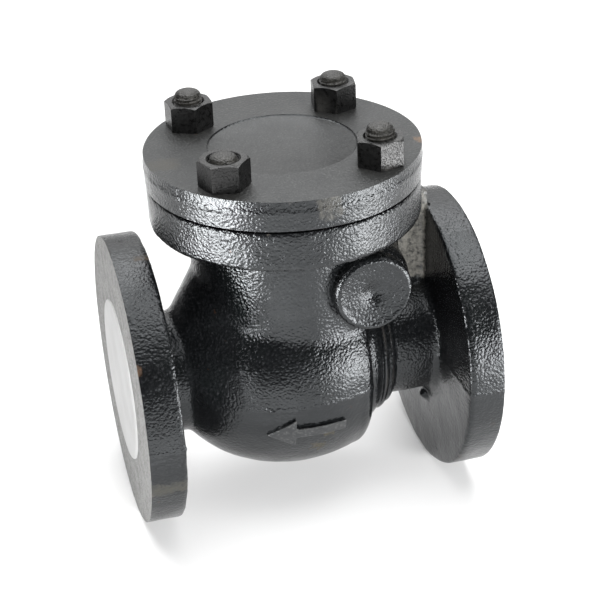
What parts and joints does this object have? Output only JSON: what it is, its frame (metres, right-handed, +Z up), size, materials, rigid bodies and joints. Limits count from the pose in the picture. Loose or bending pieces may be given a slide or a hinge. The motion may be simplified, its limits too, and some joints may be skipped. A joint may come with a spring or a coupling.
{
  "type": "swing check valve",
  "caption": "Flanged cast-iron swing check valve with a round bolted cover, a side pin boss, a hinged clapper inside and a thin push-in protector in each port",
  "frame": {"origin": "on the floor plane under the middle of the valve: the lowest points of the two pipe flanges are at z = 0, and the pipe axis is 82.5 mm above it", "axes": "+X from the outlet flange to the inlet flange along the pipe, +Y to the side with the pin plug, +Z up through the bolted cover"},
  "size_m": [0.2024, 0.165, 0.235],
  "materials": {
    "painted_casting": "dark graphite-grey semi-gloss paint over pebbly cast iron",
    "gasket_sheet": "matte black compressed gasket sheet",
    "black_steel": "oil-blackened steel, edges rubbed bright",
    "seat_bronze": "turned bronze",
    "bright_steel": "ground stainless steel",
    "bare_iron": "bare cast iron, machined where it bears",
    "white_plastic": "thin moulded white plastic"
  },
  "bodies": {
    "body": {"body_bowl": "painted_casting", "body_throat": "painted_casting", "body_flange": "painted_casting", "inlet_flange": "painted_casting", "outlet_flange": "painted_casting", "body_web": "painted_casting", "seat_ring": "seat_bronze", "cover": "painted_casting", "cover_gasket": "gasket_sheet", "cover_stud_1": "black_steel", "cover_stud_2": "black_steel", "cover_stud_3": "black_steel", "cover_stud_4": "black_steel", "cover_nut_1": "black_steel", "cover_nut_2": "black_steel", "cover_nut_3": "black_steel", "cover_nut_4": "black_steel", "hinge_pin": "bright_steel", "pin_bush_front": "seat_bronze", "pin_bush_rear": "seat_bronze", "pin_plug": "black_steel", "plug_washer": "seat_bronze"},
    "arm": {"hinge_arm": "bare_iron"},
    "disc": {"clapper_disc": "bare_iron", "disc_face_ring": "seat_bronze", "disc_washer": "bright_steel", "disc_nut": "bright_steel", "disc_split_pin": "bright_steel"},
    "inlet_cap": {"inlet_port_cover": "white_plastic"},
    "outlet_cap": {"outlet_port_cover": "white_plastic"}
  },
  "joints": [
    {"name": "clapper_swing", "type": "hinge", "parent": "body", "child": "arm", "pos_m": [0.0325, 0, 0.144], "axis": [0, 1, 0], "range_deg": [0, 60]},
    {"name": "disc_spin", "type": "hinge", "parent": "arm", "child": "disc", "pos_m": [0.03, 0, 0.0825], "axis": [1, 0, 0], "continuous": true},
    {"name": "inlet_cap_pull", "type": "slide", "parent": "body", "child": "inlet_cap", "axis": [1, 0, 0], "range_m": [0, 0.03]},
    {"name": "outlet_cap_pull", "type": "slide", "parent": "body", "child": "outlet_cap", "axis": [-1, 0, 0], "range_m": [0, 0.03]}
  ]
}
